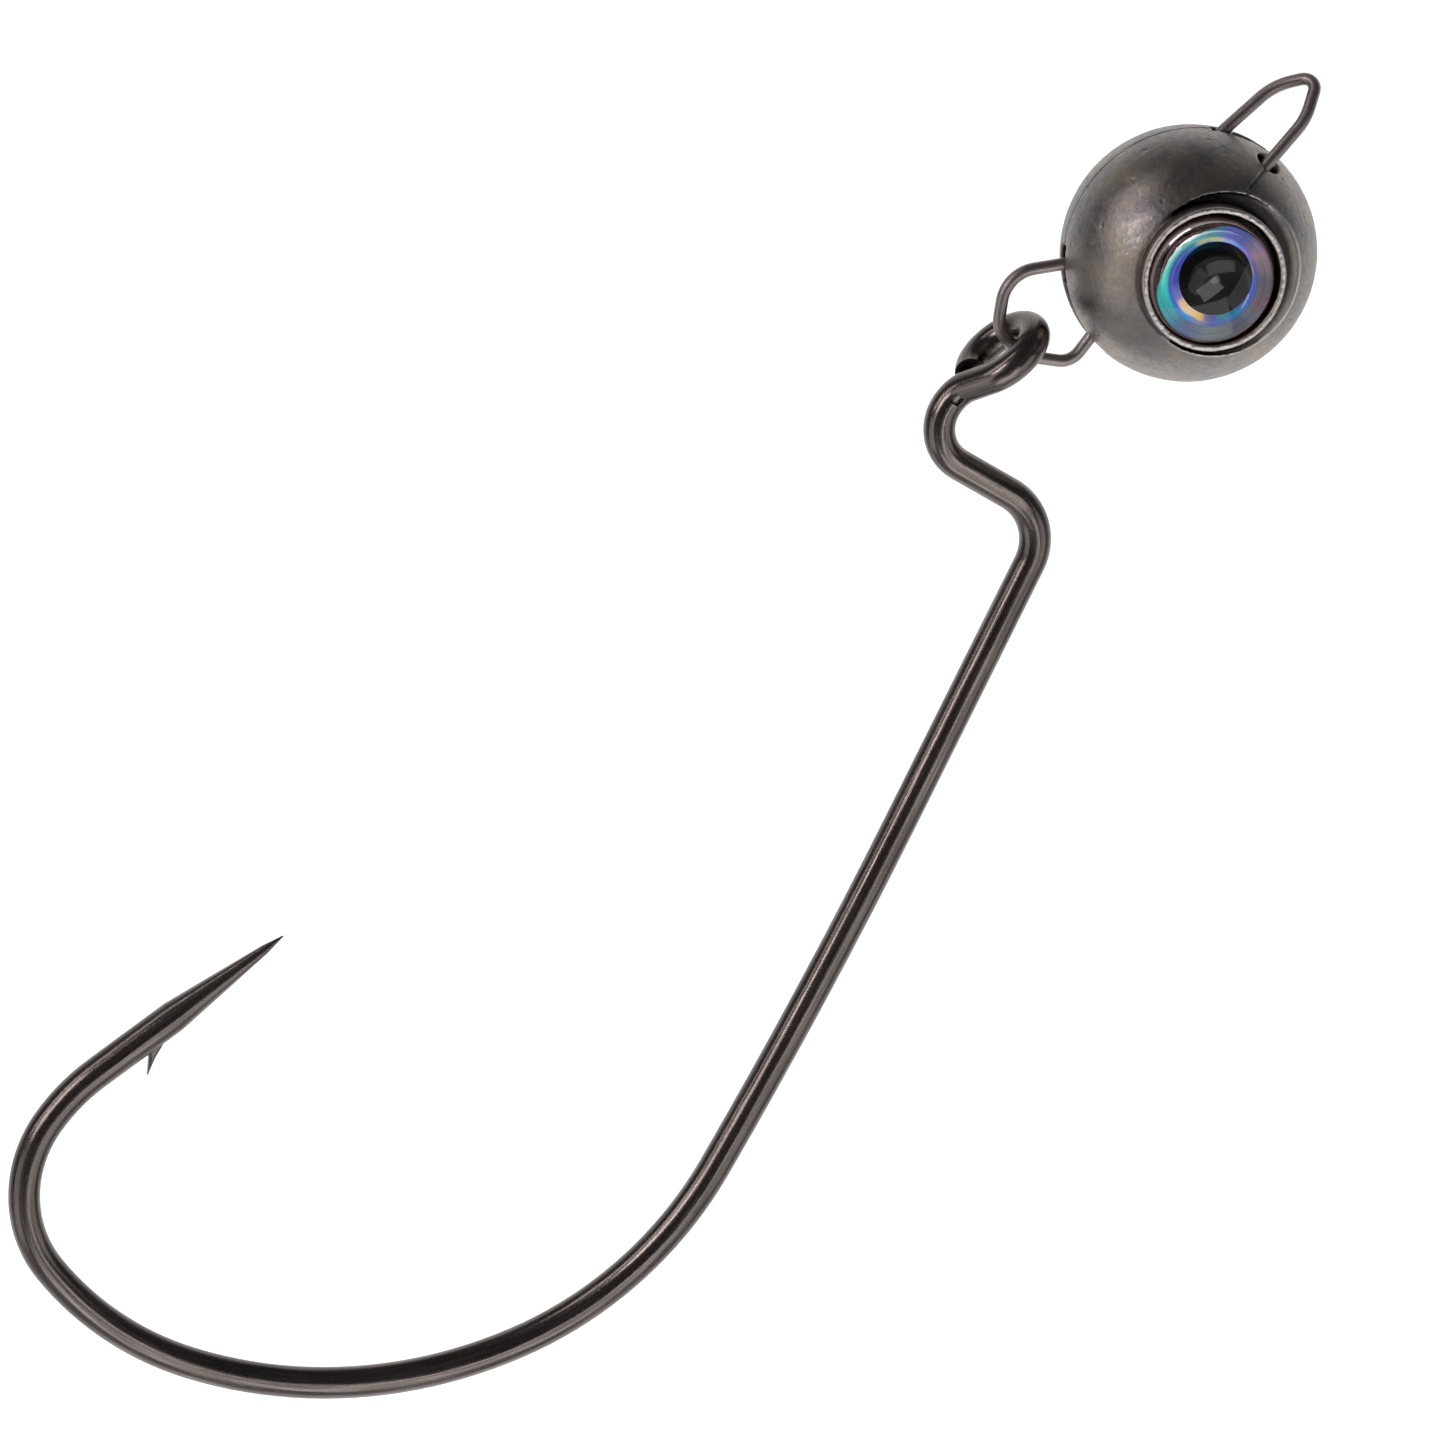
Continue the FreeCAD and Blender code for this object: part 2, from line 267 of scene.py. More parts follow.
def cast_lead():
    """Bare lead, oxidised to a dark brownish grey, rubbed bright at the edges with a painted highlight
    there, and painted shade in the hollows.
    """
    made, tree, shader = material("cast lead, tarnished")
    patches, specks, *_ = place_group(tree, patchy_metal, {"Patch Size": 2.4, "Speck Size": 0.30})
    stains, dust, *_ = place_group(tree, patchy_metal, {"Patch Size": 0.9, "Speck Size": 0.11})
    rub_and_highlight = node(tree, "Attribute", attribute_name="rub_and_highlight").outputs["Fac"]
    painted_hollow_shade = node(tree, "Attribute", attribute_name="painted_hollow_shade").outputs["Fac"]
    base = ramp(tree, patches, [(0.0, (0.215, 0.215, 0.238)), (0.45, (0.31, 0.293, 0.290)),
                                (0.75, (0.385, 0.342, 0.303)), (1.0, (0.43, 0.38, 0.32))])
    brown = tint(tree, maths(tree, "MULTIPLY", stains, 0.42), base, (0.50, 0.41, 0.33, 1))
    warm = tint(tree, spread(tree, specks, 0.0, 1.0, 0.0, 0.45), brown, (0.22, 0.205, 0.21, 1))
    warm = tint(tree, spread(tree, dust, 0.6, 1.0, 0.0, 0.35), warm, (0.62, 0.55, 0.49, 1))
    # painted highlight: the rubbed lip and the recess's edge are painted near white
    rubbed_and_highlit = tint(tree, maths(tree, "MULTIPLY", rub_and_highlight, spread(tree, specks, 0.1, 0.7, 0.55, 1.0)), warm,
                  (0.97, 0.91, 0.88, 1))
    # painted shade: the cup, the sunken recess, the crack and the lip's foot are painted near black
    hollow_shaded = tint(tree, painted_hollow_shade, rubbed_and_highlit, (0.03, 0.026, 0.026, 1))
    # the mould's parting line in the mid-plane: a low flash with a painted highlight along it and painted
    # shade at its foot
    place = node(tree, "TexCoord").outputs["Object"]
    across = node(tree, "SeparateXYZ", {0: place}).outputs[1]
    ragged = spread(tree, specks, 0.0, 1.0, -0.03 * MM, 0.03 * MM)
    off = maths(tree, "ABSOLUTE", maths(tree, "ADD", across, ragged))
    flash_and_highlight = spread(tree, off, 0.10 * MM, 0.04 * MM, smooth=True)
    shaded_foot = maths(tree, "SUBTRACT", spread(tree, off, 0.24 * MM, 0.12 * MM, smooth=True), flash_and_highlight)
    # painted shade at the flash's foot, then a painted highlight along the flash
    parting_shade_and_highlight = tint(tree, maths(tree, "MULTIPLY", shaded_foot, 0.7), hollow_shaded, (0.05, 0.045, 0.045, 1))
    parting_shade_and_highlight = tint(tree, maths(tree, "MULTIPLY", flash_and_highlight, 0.45), parting_shade_and_highlight, (0.62, 0.58, 0.55, 1))
    tree.links.new(parting_shade_and_highlight, shader.inputs["Base Color"])
    shader.inputs["Metallic"].default_value = 1.0
    rough = maths(tree, "ADD", spread(tree, specks, 0.0, 1.0, 0.29, 0.43),
                  maths(tree, "MULTIPLY", patches, 0.06))
    tree.links.new(rough, shader.inputs["Roughness"])
    relief = bump(tree, specks, 0.25, 0.00002)
    relief = bump(tree, dust, 0.30, 0.00001, relief)
    relief = bump(tree, flash_and_highlight, 0.8, 0.00004, relief)
    tree.links.new(relief, shader.inputs["Normal"])
    return made


def plated_wire(name, dark, mid, light, rough_low, rough_high, line_strength):
    """Round wire with faint lines along it and cloudy plating."""
    made, tree, shader = material(name)
    lines, *_ = place_group(tree, drawn_wire, {"Fineness": 5.0, "Stretch": 0.22})
    patches, specks, *_ = place_group(tree, patchy_metal, {"Patch Size": 3.0, "Speck Size": 0.14})
    base = ramp(tree, lines, [(0.0, dark), (0.55, mid), (1.0, light)])
    clouded = tint(tree, maths(tree, "MULTIPLY", patches, 0.45), base, (*mid, 1))
    dotted = tint(tree, spread(tree, specks, 0.55, 0.95, 0.0, 0.22), clouded, (*light, 1))
    ground = node(tree, "Attribute", attribute_name="ground").outputs["Fac"]
    bare = tint(tree, maths(tree, "MULTIPLY", ground, 0.5), dotted, (*light, 1))
    tree.links.new(bare, shader.inputs["Base Color"])
    shader.inputs["Metallic"].default_value = 1.0
    tree.links.new(spread(tree, specks, 0.0, 1.0, rough_low, rough_high), shader.inputs["Roughness"])
    relief = bump(tree, lines, line_strength, 0.00002)
    relief = bump(tree, specks, 0.05, 0.00001, relief)
    tree.links.new(relief, shader.inputs["Normal"])
    return made


def eye_foil():
    """Printed rainbow foil: three bands of colour round the pupil over fine pressed rings."""
    made, tree, shader = material("rainbow eye foil")
    place = node(tree, "TexCoord").outputs["Object"]
    centred = node(tree, "Mapping", {"Vector": place, "Location": (-EYE.x, 0, -EYE.z)}).outputs[0]
    part = node(tree, "SeparateXYZ", {0: centred}).outputs
    turn = maths(tree, "ARCTAN2", part[2], part[0])
    turn = maths(tree, "FRACT", maths(tree, "ADD", maths(tree, "DIVIDE", turn, 2 * math.pi), 1.0))
    flat = node(tree, "CombineXYZ", {0: part[0], 1: part[2]}).outputs[0]
    far = node(tree, "VectorMath", {0: flat}, operation="LENGTH").outputs["Value"]
    far = maths(tree, "DIVIDE", far, EYE_R)
    wobble = node(tree, "TexNoise", {"Vector": flat, "Scale": 900.0, "Detail": 1.0}).outputs[0]
    turn_soft = maths(tree, "ADD", turn, spread(tree, wobble, 0.3, 0.7, -0.012, 0.012))

    def band(stops):
        return ramp(tree, turn_soft, [(degrees / 360, colour) for degrees, colour in stops])
    by_pupil = band([
        (0, (0.02, 0.10, 0.62)), (24, (0.02, 0.14, 0.85)), (36, (0.10, 0.20, 0.75)),
        (42, (1.0, 0.55, 0.22)), (60, (1.0, 0.78, 0.62)), (68, (0.35, 0.50, 0.95)),
        (88, (0.06, 0.16, 0.85)), (104, (0.35, 0.42, 0.85)), (128, (0.05, 0.09, 0.42)),
        (210, (0.07, 0.09, 0.48)), (236, (0.25, 0.25, 0.62)), (246, (1.0, 0.66, 0.42)),
        (268, (1.0, 0.72, 0.42)), (282, (0.95, 0.62, 0.08)), (292, (0.16, 0.12, 0.45)),
        (305, (0.05, 0.10, 0.40)), (322, (0.0, 0.26, 0.34)), (342, (0.0, 0.22, 0.36)),
        (352, (0.01, 0.12, 0.55))])
    middle = band([
        (0, (0.03, 0.10, 0.50)), (50, (0.10, 0.10, 0.42)), (72, (0.30, 0.22, 0.60)),
        (86, (0.14, 0.26, 0.92)), (106, (0.42, 0.52, 0.80)), (112, (0.62, 0.66, 0.30)),
        (140, (0.50, 0.62, 0.30)), (152, (0.06, 0.30, 0.40)), (172, (0.08, 0.13, 0.48)),
        (215, (0.10, 0.11, 0.50)), (248, (0.05, 0.20, 0.75)), (256, (0.0, 0.34, 0.90)),
        (270, (0.0, 0.30, 0.80)), (284, (0.26, 0.24, 0.42)), (300, (0.06, 0.10, 0.42)),
        (330, (0.02, 0.16, 0.46))])
    outside = band([
        (0, (0.16, 0.09, 0.13)), (34, (0.10, 0.09, 0.12)), (60, (0.34, 0.20, 0.26)),
        (84, (0.10, 0.12, 0.36)), (104, (0.14, 0.15, 0.60)), (122, (0.02, 0.30, 0.38)),
        (142, (0.03, 0.42, 0.48)), (158, (0.05, 0.72, 0.62)), (212, (0.05, 0.80, 0.70)),
        (238, (0.03, 0.56, 0.56)), (258, (0.03, 0.18, 0.34)), (275, (0.08, 0.12, 0.30)),
        (300, (0.16, 0.20, 0.20)), (330, (0.12, 0.12, 0.16))])
    inner_edge = spread(tree, maths(tree, "ADD", far, spread(tree, wobble, 0.3, 0.7, -0.02, 0.02)),
                        0.62, 0.67, smooth=True)
    outer_edge = spread(tree, far, 0.70, 0.76, smooth=True)
    colour = tint(tree, outer_edge, tint(tree, inner_edge, by_pupil, middle), outside)
    # pressed rings: fine bright and dark circles, painted highlight and painted shade along the rings
    rings = node(tree, "TexNoise", {"Vector": node(tree, "CombineXYZ", {0: far}).outputs[0],
                                    "Scale": 34.0, "Detail": 3.0, "Roughness": 0.7}).outputs[0]
    lit = tint(tree, spread(tree, rings, 0.52, 0.75, 0.0, 0.28), colour, (0.72, 0.86, 0.95, 1), "SCREEN")
    shaded = tint(tree, spread(tree, rings, 0.48, 0.30, 0.0, 0.55), lit, (0.12, 0.12, 0.2, 1), "MULTIPLY")
    pink = tint(tree, spread(tree, far, 0.975, 0.99, 0.0, 0.8), shaded, (0.50, 0.26, 0.28, 1))
    tree.links.new(pink, shader.inputs["Base Color"])
    # painted glow: the foil gives off light in its own colour, brighter than a print would look
    tree.links.new(pink, shader.inputs["Emission Color"])
    shader.inputs["Emission Strength"].default_value = 0.55
    shader.inputs["Metallic"].default_value = 0.2
    shader.inputs["Specular IOR Level"].default_value = 0.15
    tree.links.new(spread(tree, rings, 0.3, 0.7, 0.25, 0.42), shader.inputs["Roughness"])
    tree.links.new(bump(tree, rings, 0.35, 0.00003), shader.inputs["Normal"])
    return made


def pupil_ink():
    made, tree, shader = material("black pupil ink")
    patches, specks, *_ = place_group(tree, patchy_metal, {"Patch Size": 0.8, "Speck Size": 0.06})
    ink = tint(tree, maths(tree, "MULTIPLY", specks, 0.6), (0.004, 0.004, 0.005, 1),
               (0.014, 0.013, 0.016, 1))
    tree.links.new(ink, shader.inputs["Base Color"])
    tree.links.new(spread(tree, patches, 0.0, 1.0, 0.35, 0.5), shader.inputs["Roughness"])
    shader.inputs["Specular IOR Level"].default_value = 0.0     # the resin lies on it, with no air between
    return made


def clear_resin():
    """The dome: clear casting resin, barely uneven."""
    made, tree, shader = material("clear dome resin")
    patches, specks, *_ = place_group(tree, patchy_metal, {"Patch Size": 1.4, "Speck Size": 0.1})
    shader.inputs["Base Color"].default_value = (1, 1, 1, 1)
    shader.inputs["IOR"].default_value = 1.48
    shader.inputs["Transmission Weight"].default_value = 1.0
    shader.inputs["Specular IOR Level"].default_value = 0.2
    tree.links.new(spread(tree, specks, 0.6, 1.0, 0.015, 0.05), shader.inputs["Roughness"])
    tree.links.new(bump(tree, patches, 0.05, 0.00002), shader.inputs["Normal"])
    return made


def adhesive():
    """Tacky pad and the glue that has crept out round the eye, brownish pink with dust in it."""
    made, tree, shader = material("eye adhesive")
    patches, specks, *_ = place_group(tree, patchy_metal, {"Patch Size": 0.9, "Speck Size": 0.09})
    base = ramp(tree, patches, [(0.0, (0.16, 0.10, 0.09)), (0.6, (0.30, 0.20, 0.18)),
                                (1.0, (0.44, 0.32, 0.29))])
    dusty = tint(tree, spread(tree, specks, 0.6, 0.9, 0.0, 0.5), base, (0.45, 0.38, 0.35, 1))
    tree.links.new(dusty, shader.inputs["Base Color"])
    tree.links.new(spread(tree, specks, 0.0, 1.0, 0.28, 0.5), shader.inputs["Roughness"])
    tree.links.new(bump(tree, specks, 0.25, 0.00003), shader.inputs["Normal"])
    return made


LEAD = cast_lead()
CLIP_STEEL = plated_wire("clip spring steel", (0.25, 0.222, 0.218), (0.38, 0.335, 0.33), (0.58, 0.51, 0.50),
                         0.34, 0.46, 0.20)
HOOK_STEEL = plated_wire("black nickel hook wire", (0.115, 0.100, 0.094), (0.175, 0.152, 0.143),
                         (0.30, 0.262, 0.248), 0.18, 0.28, 0.16)
FOIL, PUPIL, RESIN, GLUE = eye_foil(), pupil_ink(), clear_resin(), adhesive()


# ---------------------------------------------------------------- making pieces

def finish_piece(bm, name, skin, body, node_name=None, sharp=40):
    """Closes a bmesh into an object that rides on a body and stands for a CAD node."""
    mesh = bpy.data.meshes.new(name)
    bm.to_mesh(mesh)
    bm.free()
    mesh.shade_smooth()
    mesh.set_sharp_from_angle(angle=math.radians(sharp))
    mesh.materials.append(skin)
    made = bpy.data.objects.new(name, mesh)
    bpy.context.scene.collection.objects.link(made)
    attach(made, body)
    if node_name:
        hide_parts(node_name)
    return made


def clamp01(x):
    return max(0.0, min(1.0, x))


def only(kind, items):
    return [g for g in items if isinstance(g, kind)]


# ---------------------------------------------------------------- wires

def ring_steps(angle, radius):
    """How many straight facets a bend gets."""
    return max(2, math.ceil(abs(angle) * math.sqrt(radius / MM) / math.radians(9)))


def grow_wire(start, heading, radius, steps, sides):
    """A round bar from a ring of edges, run out and bent step by step.

    steps: ("run", vector, size at its end) or ("bend", centre, axis, angle). The point layers keep the place
    round the bar and the distance along it, for the lines in its finish."""
    bm = bmesh.new()
    across = [bm.verts.layers.float.new(key) for key in ("round_x", "round_y")]
    along = bm.verts.layers.float.new("along")
    facing = heading.to_track_quat("Z", "Y").to_matrix().to_4x4()
    made = bmesh.ops.create_circle(bm, segments=sides, radius=radius,
                                   matrix=Matrix.Translation(start) @ facing)
    ring = made["verts"]
    for k, v in enumerate(ring):
        v[across[0]], v[across[1]] = math.cos(math.tau * k / sides), math.sin(math.tau * k / sides)
    edges = bm.edges[:]
    here, far, reached = start.copy(), 0.0, [0.0]
    for step in steps:
        if step[0] == "run":
            way, size = step[1], step[2]
            grown = bmesh.ops.extrude_edge_only(bm, edges=edges)["geom"]
            here = here + way
            far += way.length
            reached.append(far)
            new = only(bmesh.types.BMVert, grown)
            bmesh.ops.translate(bm, verts=new, vec=way)
            now = sum((v.co for v in new), Vector()) / len(new)
            wide = (new[0].co - now).length
            bmesh.ops.scale(bm, verts=new, vec=[radius * size / wide] * 3, space=Matrix.Translation(-now))
            edges = [e for e in only(bmesh.types.BMEdge, grown) if all(v in new for v in e.verts)]
        else:
            centre, axis, angle = step[1:]
            bend_r = (here - centre).length
            count = ring_steps(angle, bend_r)
            ends = list({v for e in edges for v in e.verts})
            last = bmesh.ops.spin(bm, geom=ends + edges, cent=centre, axis=axis, angle=angle, steps=count,
                                  use_duplicate=False)["geom_last"]
            edges = only(bmesh.types.BMEdge, last)
            here = centre + Matrix.Rotation(angle, 3, axis) @ (here - centre)
            for k in range(count):
                far += bend_r * abs(angle) / count
                reached.append(far)
    for k, v in enumerate(bm.verts):
        v[along] = reached[k // sides] / MM
    bmesh.ops.edgeloop_fill(bm, edges=[e for e in bm.edges if e.is_boundary])
    bmesh.ops.recalc_face_normals(bm, faces=bm.faces[:])
    return bm


def rounded_route(points, bends):
    """Runs through the points with each corner bent to its radius, as steps for grow_wire."""
    steps, here = [], points[0]
    for before, corner, after, r in zip(points, points[1:], points[2:], bends):
        a, b = (before - corner).normalized(), (after - corner).normalized()
        half = a.angle(b) / 2
        reach = r / math.tan(half)
        centre = corner + (a + b).normalized() * (r / math.sin(half))
        steps.append(("run", corner + a * reach - here, 1.0))
        steps.append(("bend", centre, (-a).cross(b).normalized(), math.pi - 2 * half))
        here = corner + b * reach
    steps.append(("run", points[-1] - here, 1.0))
    return steps


def make_clip():
    points = [BALL + Vector(p) * BALL_R for p in CLIP_POINTS]
    steps = rounded_route(points, [r * MM for r in CLIP_BENDS])
    bm = grow_wire(points[0], points[1] - points[0], CLIP_R, steps, CLIP_SIDES)
    return finish_piece(bm, "wire_clip_drawn", CLIP_STEEL, "head", "wire_clip")


def hook_steps():
    """The hook's wire from the ring's cut end to the point: its start, heading and steps.

    Also gives where the ground point begins and its way, the knee, and the offset limb's middle."""
    up = Vector((math.cos(RING_LEAN), 0, math.sin(RING_LEAN)))
    square = Vector((math.sin(RING_LEAN), 0, -math.cos(RING_LEAN)))
    across = Vector((0, 1, 0)) * math.cos(RING_TWIST) - square * math.sin(RING_TWIST)
    centre = HANG - up * RING_R
    knee = centre - up * KNEE_DROP
    pin = across.cross(up)
    half = math.acos(RING_R / KNEE_DROP)

    def on_ring(a):
        return centre + across * (RING_R * math.sin(a)) - up * (RING_R * math.cos(a))
    start = on_ring(RING_BUTT)
    heading = across * math.cos(RING_BUTT) + up * math.sin(RING_BUTT)
    turned, level = RING_LEAN - math.pi + NECK_TURN, Vector((0, -1, 0))
    here = knee + Vector((math.cos(turned), 0, math.sin(turned))) * NECK_LEN
    steps = [("bend", centre, pin, math.tau - half - RING_BUTT)]
    steps += rounded_route([on_ring(-half), knee, here], [NECK_R])
    limb = None
    for kind, size, *turn in HOOK_RUN:
        way = Vector((math.cos(turned), 0, math.sin(turned)))
        if kind == "line":
            limb = limb or here + way * (size * MM / 2)
            parts = max(1, round(size / 1.5))
            steps += [("run", way * (size * MM / parts), 1.0)] * parts
            here = here + way * size * MM
            continue
        swing = math.radians(turn[0])
        pivot = here + Vector((-way.z, 0, way.x)) * math.copysign(size * MM, swing)
        steps.append(("bend", pivot, level, swing))
        here = pivot + Matrix.Rotation(swing, 3, level) @ (here - pivot)
        turned += swing
    way = Vector((math.cos(turned), 0, math.sin(turned)))
    base = here.copy()
    size = 1.0
    for length, thin in POINT_RUN:
        parts = 4
        for k in range(parts):
            steps.append(("run", way * (length * MM / parts), size + (thin - size) * (k + 1) / parts))
        size = thin
    return start, heading, steps, base, way, knee, limb


def press_notch(bm, knee):
    """The square tool mark on the near face of the neck."""
    middle = knee - Vector((0, HOOK_R, NOTCH_DROP))
    # cuts along the mark's four sides come first, so that its corners are crisp
    for axis in (Vector((1, 0, 0)), Vector((0, 0, 1))):
        for side in (-0.5, 0.5):
            near = [f for f in bm.faces if (f.calc_center_median() - middle).length < 3 * NOTCH]
            geom = list({g for f in near for g in [*f.verts, *f.edges]}) + near
            bmesh.ops.bisect_plane(bm, geom=geom, plane_co=middle + axis * side * NOTCH, plane_no=axis)
    inside = [f for f in bm.faces if abs(f.calc_center_median().x - middle.x) < NOTCH / 2
              and abs(f.calc_center_median().z - middle.z) < NOTCH / 2
              and abs(f.calc_center_median().y - middle.y) < HOOK_R * 0.6]
    bmesh.ops.inset_region(bm, faces=inside, thickness=0.03 * MM, depth=-NOTCH_DEPTH, use_even_offset=True)


def add_barb(bm, base, way):
    """The sliver cut up from the inner side of the point, thin at its edges."""
    inner = Vector((way.z, 0, -way.x))
    corners = [bm.verts.new(base - way * (a * HOOK_R) + inner * (b * HOOK_R) - Vector((0, BARB_T, 0)))
               for a, b in BARB]
    face = bm.faces.new(corners)
    grown = bmesh.ops.extrude_face_region(bm, geom=[face])["geom"]
    top = only(bmesh.types.BMVert, grown)
    bmesh.ops.translate(bm, verts=top, vec=Vector((0, 2 * BARB_T, 0)))
    made = corners + top
    long_edges = [e for e in bm.edges if e.verts[0] in made and e.verts[1] in made
                  and abs(e.verts[0].co.y - e.verts[1].co.y) < BARB_T]
    bmesh.ops.bevel(bm, geom=long_edges, offset=0.10 * MM, segments=2, affect="EDGES", profile=0.5,
                    material=-1)


def make_hook():
    start, heading, steps, base, way, knee, limb = hook_steps()
    bm = grow_wire(start, heading, HOOK_R, steps, HOOK_SIDES)
    # the offset limb is pressed flat on both faces
    for v in bm.verts:
        pressed = clamp01((LIMB_FLAT / 2 - (v.co - limb).length) / FLAT_EASE)
        reach = HOOK_R * (1 - PRESSED * pressed)
        v.co.y = max(-reach, min(reach, v.co.y)) if pressed else v.co.y
    press_notch(bm, knee)
    ground = bm.verts.layers.float.new("ground")
    for v in bm.verts:
        near_point = (v.co - base).length < GROUND_REACH
        v[ground] = clamp01((v.co - base).dot(way) / GROUND_EASE) if near_point else 0.0
    # the bend is hammered a little flat on both faces
    low = min(v.co.z for v in bm.verts)
    for v in bm.verts:
        depth = clamp01(1 - (v.co.z - low) / BEND_FLAT_H)
        v.co.y *= 1 - PRESSED * depth * depth * (3 - 2 * depth)
    add_barb(bm, base, way)
    bmesh.ops.recalc_face_normals(bm, faces=bm.faces[:])
    return finish_piece(bm, "hook_forged", HOOK_STEEL, "hook", "hook")


# ---------------------------------------------------------------- ball

def make_ball():
    """The casting: the CAD solid rebuilt in fine even facets, then worked over like a rough cast."""
    bm = bmesh.new()
    bm.from_mesh(frame["nodes"]["ball_body"].data)
    bmesh.ops.remove_doubles(bm, verts=bm.verts[:], dist=0.002 * MM)
    bmesh.ops.recalc_face_normals(bm, faces=bm.faces[:])
    rough = bpy.data.meshes.new("ball_rough")
    bm.to_mesh(rough)
    bm.free()
    holder = bpy.data.objects.new("ball_rough", rough)
    bpy.context.scene.collection.objects.link(holder)
    remesh = holder.modifiers.new("even facets", "REMESH")
    remesh.mode, remesh.voxel_size = "VOXEL", CAST_GRAIN
    settled = bpy.data.meshes.new_from_object(holder.evaluated_get(bpy.context.evaluated_depsgraph_get()))
    bpy.data.objects.remove(holder)
    bm = bmesh.new()
    bm.from_mesh(settled)
    bmesh.ops.smooth_vert(bm, verts=bm.verts[:], factor=0.5, use_axis_x=True, use_axis_y=True,
                          use_axis_z=True)
    bm.normal_update()
    work_casting(bm)
    return finish_piece(bm, "ball_cast", LEAD, "head", "ball_body", sharp=60)


def work_casting(bm):
    """Moves the casting's points a little, for the hand-finished lip, the parting line, pits and the crack.

    The point layers mark where it is rubbed bright with a painted highlight, and where painted shade darkens
    the hollows."""
    crack = CRACK_TO - CRACK_FROM
    crack_side = CRACK_FROM.cross(CRACK_TO).normalized()
    rub_and_highlight = bm.verts.layers.float.new("rub_and_highlight")
    painted_hollow_shade = bm.verts.layers.float.new("painted_hollow_shade")
    for v in bm.verts:
        p = v.co - BALL
        side = math.hypot(p.x, p.z)
        out = p.length
        on_lip = clamp01(1 - abs(side - (CUP_R + LIP_R) / 2) / (0.24 * MM)) * \
            clamp01((abs(p.y) - LIP_Y + 0.22 * MM) / (0.14 * MM))
        where = v.co / MM
        move = 0.010 * noise.noise(where * 0.8) + 0.004 * noise.noise(where * 4.0)
        move += on_lip * (0.035 * noise.noise(where * 5.0) - 0.02)
        # the mould's parting line: a low flash round the mid-plane, heaviest over the back
        seam = clamp01(1 - abs(p.y - SEAM_Y) / SEAM_HALF_W)
        outside = clamp01((out - 0.9 * BALL_R) / (0.08 * BALL_R))
        move += SEAM_H * seam * outside * (0.6 + 0.8 * noise.noise(where * 0.7))
        pit = noise.noise(where * 2.9 + Vector((7, 3, 1)))
        move -= PIT_DEPTH * clamp01((pit - 0.62) / 0.10)
        # the recess's upper edge is rubbed too and gets a painted highlight; painted shade darkens the foot
        # of the lip
        from_recess = math.hypot(p.x - RECESS_SHIFT.x, p.z - RECESS_SHIFT.z) - RECESS_R
        edge = clamp01(1.2 - abs(from_recess - 0.04 * MM) / (0.08 * MM)) * \
            clamp01((side - LIP_R) / (0.3 * MM) - 0.6)
        shaded_foot = clamp01(1.3 - abs(side - LIP_R - 0.10 * MM) / (0.10 * MM)) * \
            (1 if abs(p.y) < LIP_Y - 0.3 * MM else 0)
        by_eye = abs(p.y) > 0.5 * LIP_Y
        # painted highlight mask for the lip and the recess's upper edge, on top of real rubbing
        v[rub_and_highlight] = max(on_lip, 0.8 * edge if by_eye else 0.0)
        in_cup = clamp01((CUP_R - side) / (0.1 * MM)) * clamp01((LIP_Y - 0.25 * MM - abs(p.y)) / (0.3 * MM))
        # how far the point lies below the ball's own round surface, outside the cup
        depth = 1 - math.hypot(side / BALL_R, p.y / BALL_POLAR_R)
        sunk = clamp01((depth - 0.012) / 0.03) * clamp01((side - LIP_R + 0.06 * MM) / (0.08 * MM))
        along = (p - CRACK_FROM).dot(crack) / crack.length_squared
        split = clamp01(1.3 - abs(p.dot(crack_side)) / CRACK_HALF_W) if 0 < along < 1 and p.y < 0 else 0.0
        move -= CRACK_DEPTH * split
        # painted shade mask for the cup, the sunken recess, the crack and the lip's foot
        v[painted_hollow_shade] = max(in_cup, 0.92 * sunk, 0.85 * split, 0.8 * shaded_foot if by_eye else 0.0)
        v.co += v.normal * (move * MM)
    for v in bm.verts:
        v.co.y = max(-LIP_Y, min(LIP_Y, v.co.y))


# ---------------------------------------------------------------- eyes

def lathe(profile, steps, side):
    """Turns a profile of (radius, distance from the mid-plane) round the eye axis, on one side."""
    bm = bmesh.new()
    corners = [bm.verts.new((EYE.x + r, side * y, EYE.z)) for r, y in profile]
    edges = [bm.edges.new(pair) for pair in zip(corners, corners[1:])]
    bmesh.ops.spin(bm, geom=corners + edges, cent=EYE, axis=(0, 1, 0), angle=math.tau, steps=steps,
                   use_merge=True, use_duplicate=False)
    bmesh.ops.remove_doubles(bm, verts=bm.verts[:], dist=0.001 * MM)
    bmesh.ops.recalc_face_normals(bm, faces=bm.faces[:])
    return bm


